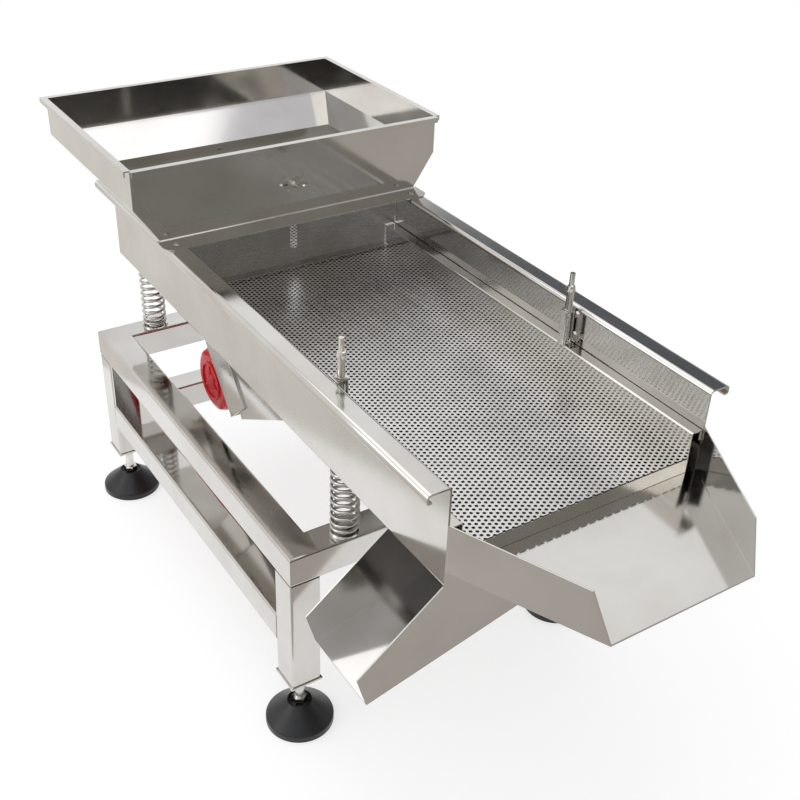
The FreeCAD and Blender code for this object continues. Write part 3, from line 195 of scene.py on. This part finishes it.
def makePlane(name, corners, paint):
    bm = bmesh.new()
    bmesh.ops.create_grid(bm, x_segments=1, y_segments=1, size=0.5)
    bm.verts.ensure_lookup_table()
    for vert in bm.verts:
        across = corners[1] - corners[0] if vert.co.y < 0 else corners[2] - corners[3]
        vert.co = (corners[0] if vert.co.y < 0 else corners[3]) + across * (vert.co.x + 0.5)
    mesh = bpy.data.meshes.new(name)
    bm.to_mesh(mesh)
    bm.free()
    plane = bpy.data.objects.new(name, mesh)
    bpy.context.collection.objects.link(plane)
    plane.data.materials.append(paint)


def seenOnFloor(x, y):
    # where the picture's corner at x, y (each -1 or 1) meets the floor
    half = view["sensor"] / 2 / view["lens"] * studio["paperMargin"]
    ray = Vector(view["right"]) * x * half + Vector(view["up"]) * y * half - Vector(view["back"])
    place = Vector(view["place"])
    return place - ray * (place.z / ray.z)


def makeFloor():
    paper = bpy.data.materials.new("white paper")
    paper.use_nodes = True
    tree = paper.node_tree
    tree.nodes.clear()
    # partly its own light, so that it is white to the camera and in the metal and still takes a soft shadow;
    # further reflections and the light it sends back are those of plain paper
    share = studio["paperShade"]
    white = linear(studio["paper"])
    matt = addNode(tree, "ShaderNodeBsdfDiffuse", {"Color": tuple(c * share for c in white[:3]) + (1,)})
    glow = addNode(tree, "ShaderNodeEmission", {"Color": white, "Strength": studio["paperGlow"]})
    both = addNode(tree, "ShaderNodeAddShader", links=[(0, matt, 0), (1, glow, 0)])
    plain = addNode(tree, "ShaderNodeBsdfDiffuse", {"Color": white})
    path = addNode(tree, "ShaderNodeLightPath")
    first = addNode(tree, "ShaderNodeMath", {1: 1.5}, [(0, path, "Ray Depth")], operation="LESS_THAN")
    glossy = addNode(tree, "ShaderNodeMath", links=[(0, path, "Is Glossy Ray"), (1, first, 0)],
                     operation="MULTIPLY")
    shown = addNode(tree, "ShaderNodeMath", links=[(0, path, "Is Camera Ray"), (1, glossy, 0)],
                    operation="MAXIMUM")
    shown = addNode(tree, "ShaderNodeMath", links=[(0, shown, 0), (1, path, "Is Transmission Ray")],
                    operation="MAXIMUM")
    mix = addNode(tree, "ShaderNodeMixShader", links=[(0, shown, 0), (1, plain, 0), (2, both, 0)])
    addNode(tree, "ShaderNodeOutputMaterial", links=[("Surface", mix, 0)])
    around = ((-1, -1), (1, -1), (1, 1), (-1, 1))
    makePlane("paper", [seenOnFloor(x, y) for x, y in around], paper)
    stone = bpy.data.materials.new("grey floor")
    stone.use_nodes = True
    tree = stone.node_tree
    tree.nodes.clear()
    # the grey floor glows as its own light and takes no lamp light or shadow; its darker front right and paler
    # rear left are painted shade and painted light
    where = (addNode(tree, "ShaderNodeTexCoord"), "Object")
    fade = toward(tree, where, *studio["floorFade"])
    tone = blended(tree, fade, linear(studio["floorNear"]), linear(studio["floorFar"]))
    glow = addNode(tree, "ShaderNodeEmission", {"Strength": 1.0})
    tree.links.new(tone, glow.inputs["Color"])
    addNode(tree, "ShaderNodeOutputMaterial", links=[("Surface", glow, 0)])
    half = studio["floorSize"] / 2
    corners = [Vector((x * half, y * half, -studio["floorBelow"])) for x, y in around]
    makePlane("floor", corners, stone)


for lampName in ("overhead", "fromLeft"):
    makeLamp(lampName, studio[lampName])
makeWorld()
makeFloor()
print("studio set")


# finishes

def newFinish(name):
    paint = bpy.data.materials.new(name)
    paint.use_nodes = True
    tree = paint.node_tree
    tree.nodes.clear()
    shader = addNode(tree, "ShaderNodeBsdfPrincipled")
    addNode(tree, "ShaderNodeOutputMaterial", links=[("Surface", shader, "BSDF")])
    return paint, tree, shader


def stretched(tree, scale, source="Object"):
    # object coordinates, stretched by scale along each axis
    place = addNode(tree, "ShaderNodeTexCoord")
    return addNode(tree, "ShaderNodeMapping", {"Scale": scale}, [("Vector", place, source)])


steel = {"grainLength": 60, "detail": 3.0, "cloudDetail": 4.0, "cloudSoft": 0.55, "tintAt": 0.3, "metalAt": 0.62,
         "wear": (-0.01, 0.015), "bump": 0.12}


def steelFinish(name, metal, tint, rough, spread, grain, grainMm, depth, cloudMm):
    # rolled stainless sheet: faint grain from the last pass, cloudy sheen and handling marks
    paint, tree, shader = newFinish(name)
    shader.inputs["Metallic"].default_value = 1.0
    fine = tuple(1000 / (grainMm * (steel["grainLength"] if axis == grain else 1)) for axis in "XYZ")
    lines = addNode(tree, "ShaderNodeTexNoise", {"Scale": 1.0, "Detail": steel["detail"], "Roughness": 0.6},
                    [("Vector", stretched(tree, fine), "Vector")])
    cloud = addNode(tree, "ShaderNodeTexNoise",
                    {"Scale": 1000 / cloudMm, "Detail": steel["cloudDetail"], "Roughness": steel["cloudSoft"]},
                    [("Vector", stretched(tree, (1, 1, 1)), "Vector")])
    colour = addNode(tree, "ShaderNodeValToRGB", links=[("Fac", cloud, "Fac")])
    stops = colour.color_ramp.elements
    stops[0].position, stops[0].color = steel["tintAt"], linear(tint)
    stops[1].position, stops[1].color = steel["metalAt"], linear(metal)
    tree.links.new(colour.outputs["Color"], shader.inputs["Base Color"])
    soft = addNode(tree, "ShaderNodeMapRange",
                   {"From Min": 0.3, "From Max": 0.7, "To Min": rough - spread, "To Max": rough + spread},
                   [("Value", lines, "Fac")])
    low, high = steel["wear"]
    worn = addNode(tree, "ShaderNodeMapRange", {"From Min": 0.35, "From Max": 0.75, "To Min": low, "To Max": high},
                   [("Value", cloud, "Fac")])
    total = addNode(tree, "ShaderNodeMath", links=[(0, soft, "Result"), (1, worn, "Result")], operation="ADD")
    tree.links.new(total.outputs[0], shader.inputs["Roughness"])
    bump = addNode(tree, "ShaderNodeBump", {"Strength": steel["bump"], "Distance": depth / 1000},
                   [("Height", lines, "Fac")])
    tree.links.new(bump.outputs["Normal"], shader.inputs["Normal"])
    return paint


# metal, tint, roughness and its spread, direction of the grain, its width and depth and the clouds' size in mm
finishes = {
    # near to a mirror: crisp dark and light bands along the tubes
    "polished_tube": steelFinish(
        "bright annealed stainless tube", "#D6D4D0", "#CCC9C4", 0.07, 0.01, "Y", 0.8, 0.006, 90),
    # smooth with a soft sheen: surroundings show a little blurred
    "brushed_sheet": steelFinish(
        "cold rolled 2B stainless sheet", "#D8D6D2", "#CDCAC5", 0.11, 0.02, "Y", 0.6, 0.012, 110),
    # dull grey with fine lines across: sets the gate off from the hopper
    "gate_sheet": steelFinish(
        "brushed stainless sheet", "#B2B1AE", "#A3A19D", 0.24, 0.07, "X", 1.4, 0.05, 60),
    # pale and matt between the holes, with brighter patches
    "perforated_screen": steelFinish(
        "punched stainless sheet", "#F4F3F1", "#E6E4E1", 0.34, 0.06, "Y", 0.9, 0.02, 50),
    # the holes' walls and the screen's underside are painted dark and dull as painted shade, so that the holes
    # stand out dark
    "painted_hole_shade": steelFinish("painted shade in holes and underside", "#4A4845", "#3A3835", 0.55, 0.05, "Z", 0.5, 0.02, 12),
    # small bright glints on nuts, rods and stems
    "bright_fasteners": steelFinish(
        "turned stainless steel", "#E2E0DD", "#CFCCC7", 0.13, 0.04, "Z", 0.5, 0.02, 12),
    # glossy round wire with dark edges
    "spring_steel": steelFinish("drawn spring wire", "#CFCECB", "#BCB9B4", 0.14, 0.04, "X", 0.7, 0.02, 14),
    # dark and dull, inside the motor
    "laminated_steel": steelFinish("punched dynamo sheet", "#77726C", "#5E5A55", 0.45, 0.08, "Y", 0.6, 0.05, 20),
}


coat = {"cloudMm": 25, "cloudDetail": 4.0, "detail": 2.0, "darkAt": 0.3, "baseAt": 0.7, "bump": 0.25}


def coatFinish(name, base, dark, rough, spread, grainMm, depth):
    # plastic or paint: fine grain and slightly cloudy gloss
    paint, tree, shader = newFinish(name)
    grain = addNode(tree, "ShaderNodeTexNoise", {"Scale": 1000 / grainMm, "Detail": coat["detail"]},
                    [("Vector", stretched(tree, (1, 1, 1)), "Vector")])
    cloud = addNode(tree, "ShaderNodeTexNoise", {"Scale": 1000 / coat["cloudMm"], "Detail": coat["cloudDetail"]},
                    [("Vector", stretched(tree, (1, 1, 1)), "Vector")])
    colour = addNode(tree, "ShaderNodeValToRGB", links=[("Fac", cloud, "Fac")])
    stops = colour.color_ramp.elements
    stops[0].position, stops[0].color = coat["darkAt"], linear(dark)
    stops[1].position, stops[1].color = coat["baseAt"], linear(base)
    tree.links.new(colour.outputs["Color"], shader.inputs["Base Color"])
    soft = addNode(tree, "ShaderNodeMapRange",
                   {"From Min": 0.3, "From Max": 0.7, "To Min": rough - spread, "To Max": rough + spread},
                   [("Value", cloud, "Fac")])
    tree.links.new(soft.outputs["Result"], shader.inputs["Roughness"])
    bump = addNode(tree, "ShaderNodeBump", {"Strength": coat["bump"], "Distance": depth / 1000},
                   [("Height", grain, "Fac")])
    tree.links.new(bump.outputs["Normal"], shader.inputs["Normal"])
    return paint


# near black with a broad soft sheen on the cones
finishes["black_plastic"] = coatFinish("moulded black nylon", "#1C1D20", "#131416", 0.38, 0.06, 0.7, 0.05)
# bright red with small sharp highlights on the ribs
finishes["red_enamel"] = coatFinish("red enamelled steel", "#E0202A", "#CC1620", 0.24, 0.05, 1.6, 0.04)

slotOf = {part["node"]: part["material_slot"] for part in frame["record"]["subparts"]}


def dressNodes():
    for name, node in nodes.items():
        finish = finishes["gate_sheet"] if name == "gate_plate" else finishes[slotOf[name]]
        node.data.materials.clear()
        node.data.materials.append(finish)


dressNodes()
print("finishes made")


# small bend radii and broken edges catch the light on the sheet metal
edges = {
    "trough_shell": 0.0007, "trough_rear_wall": 0.0004, "tray_frame": 0.0005, "hopper": 0.0005,
    "oversize_chute": 0.0004, "fines_chute": 0.0004, "gate_plate": 0.0003, "motor_bracket": 0.0005,
    "motor_gussets": 0.0003, "leg_end_plates": 0.0005,
    "clamp_bracket_left": 0.0003, "clamp_bracket_right": 0.0003,
    "clamp_saddle_left": 0.0004, "clamp_saddle_right": 0.0004,
}
edge = {"weld": 0.00001, "steps": 2, "sharper": 35}


def softenEdges(node, width):
    weld = node.modifiers.new("join", "WELD")
    weld.merge_threshold = edge["weld"]
    bevel = node.modifiers.new("edge", "BEVEL")
    bevel.width = width
    bevel.segments = edge["steps"]
    bevel.limit_method = "ANGLE"
    bevel.angle_limit = math.radians(edge["sharper"])


for name, width in edges.items():
    softenEdges(nodes[name], width)
print("edges softened")


def finishPiece(name, bm, slot, smooth=False):
    mesh = bpy.data.meshes.new(name)
    bm.to_mesh(mesh)
    bm.free()
    piece = bpy.data.objects.new(name, mesh)
    bpy.context.collection.objects.link(piece)
    mesh.materials.append(finishes[slot])
    if smooth:
        mesh.shade_smooth()
    return piece


# perforated screen: a hexagonal cell with a round hole, repeated along and across, then cut to size
screen = {"pitch": 0.00635, "hole": 0.0039, "segments": 12, "parts": 4, "thick": 0.0014, "merge": 0.00002}


def repeated(bm, step, count):
    # doubles what is there until there are at least count copies along step
    made = 1
    while made < count:
        geom = bm.verts[:] + bm.edges[:] + bm.faces[:]
        copy = bmesh.ops.duplicate(bm, geom=geom)["geom"]
        verts = [v for v in copy if isinstance(v, bmesh.types.BMVert)]
        bmesh.ops.translate(bm, verts=verts, vec=Vector(step) * made)
        made += made


def makeScreen():
    low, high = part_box("screen_sheet")
    pitch = screen["pitch"]
    across = pitch * math.sqrt(3) / 2
    spanY = (high.y - low.y) / screen["parts"]
    for part in range(screen["parts"]):
        startY = low.y + part * spanY
        bm = bmesh.new()
        bmesh.ops.create_circle(bm, segments=6, radius=pitch / math.sqrt(3))
        bmesh.ops.rotate(bm, verts=bm.verts[:], matrix=Matrix.Rotation(math.radians(90), 3, "Z"))
        bmesh.ops.subdivide_edges(bm, edges=bm.edges[:], cuts=1)
        bmesh.ops.create_circle(bm, segments=screen["segments"], radius=screen["hole"] / 2)
        bmesh.ops.bridge_loops(bm, edges=bm.edges[:])
        twin = bmesh.ops.duplicate(bm, geom=bm.verts[:] + bm.edges[:] + bm.faces[:])["geom"]
        bmesh.ops.translate(bm, verts=[v for v in twin if isinstance(v, bmesh.types.BMVert)],
                            vec=(across, pitch / 2, 0))
        rows = math.ceil(spanY / pitch) + 2
        columns = math.ceil((high.x - low.x) / (2 * across)) + 2
        repeated(bm, (0, pitch, 0), rows)
        repeated(bm, (2 * across, 0, 0), columns)
        bmesh.ops.remove_doubles(bm, verts=bm.verts[:], dist=screen["merge"])
        phase = math.floor((startY - low.y) / pitch) * pitch
        bmesh.ops.translate(bm, verts=bm.verts[:], vec=(low.x - across, low.y + phase - pitch, high.z))
        for place, outward in (((low.x, 0, 0), (-1, 0, 0)), ((high.x, 0, 0), (1, 0, 0)),
                               ((0, startY, 0), (0, -1, 0)), ((0, startY + spanY, 0), (0, 1, 0))):
            bmesh.ops.bisect_plane(bm, geom=bm.verts[:] + bm.edges[:] + bm.faces[:], plane_co=place,
                                   plane_no=outward, clear_outer=True)
        bmesh.ops.recalc_face_normals(bm, faces=bm.faces[:])
        if bm.faces[:][0].normal.z < 0:
            bmesh.ops.reverse_faces(bm, faces=bm.faces[:])
        piece = finishPiece("screen_%d" % (part + 1), bm, "perforated_screen")
        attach(piece, "trough")
        # the second material, dark painted shade, is for the holes' walls and the underside
        piece.data.materials.append(finishes["painted_hole_shade"])
        wall = piece.modifiers.new("thickness", "SOLIDIFY")
        wall.thickness = screen["thick"]
        wall.offset = -1
        wall.material_offset = wall.material_offset_rim = 1
        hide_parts("screen_sheet")


makeScreen()
print("screen punched")


# springs: round wire; the end turns lie close, as in the solid
spring = {"radius": 0.015, "wire": 0.004, "turns": 10, "close": 1.08, "steps": 24, "sides": 10, "merge": 0.000005}


def makeSpring(corner):
    low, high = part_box("spring_" + corner)
    centre = middle("spring_" + corner)
    wire, steps = spring["wire"], spring["steps"]
    closeTurn = wire * spring["close"]
    openTurns = spring["turns"] - 2
    pitch = (high.z - low.z - wire - 2 * closeTurn) / openTurns
    start = Vector((centre.x, centre.y, low.z + wire / 2))
    bm = bmesh.new()
    ring = bmesh.ops.create_circle(bm, segments=spring["sides"], radius=wire / 2, cap_ends=True)["verts"]
    bmesh.ops.rotate(bm, verts=ring, matrix=Matrix.Rotation(math.radians(90), 3, "X"))
    bmesh.ops.translate(bm, verts=ring, vec=start + Vector((spring["radius"], 0, 0)))
    geom = bm.verts[:] + bm.edges[:] + bm.faces[:]
    for turns, rise in ((1, closeTurn), (openTurns, pitch), (1, closeTurn)):
        geom = bmesh.ops.spin(bm, geom=geom, cent=start, axis=(0, 0, 1), dvec=(0, 0, rise / steps),
                              angle=2 * math.pi * turns, steps=int(steps * turns), use_merge=False)["geom_last"]
    bmesh.ops.remove_doubles(bm, verts=bm.verts[:], dist=spring["merge"])
    bmesh.ops.recalc_face_normals(bm, faces=bm.faces[:])
    piece = finishPiece("wire_" + corner, bm, "spring_steel", smooth=True)
    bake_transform(piece)
    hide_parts("spring_" + corner)


for corner in ("front_left", "front_right", "rear_left", "rear_right"):
    makeSpring(corner)
print("springs wound")
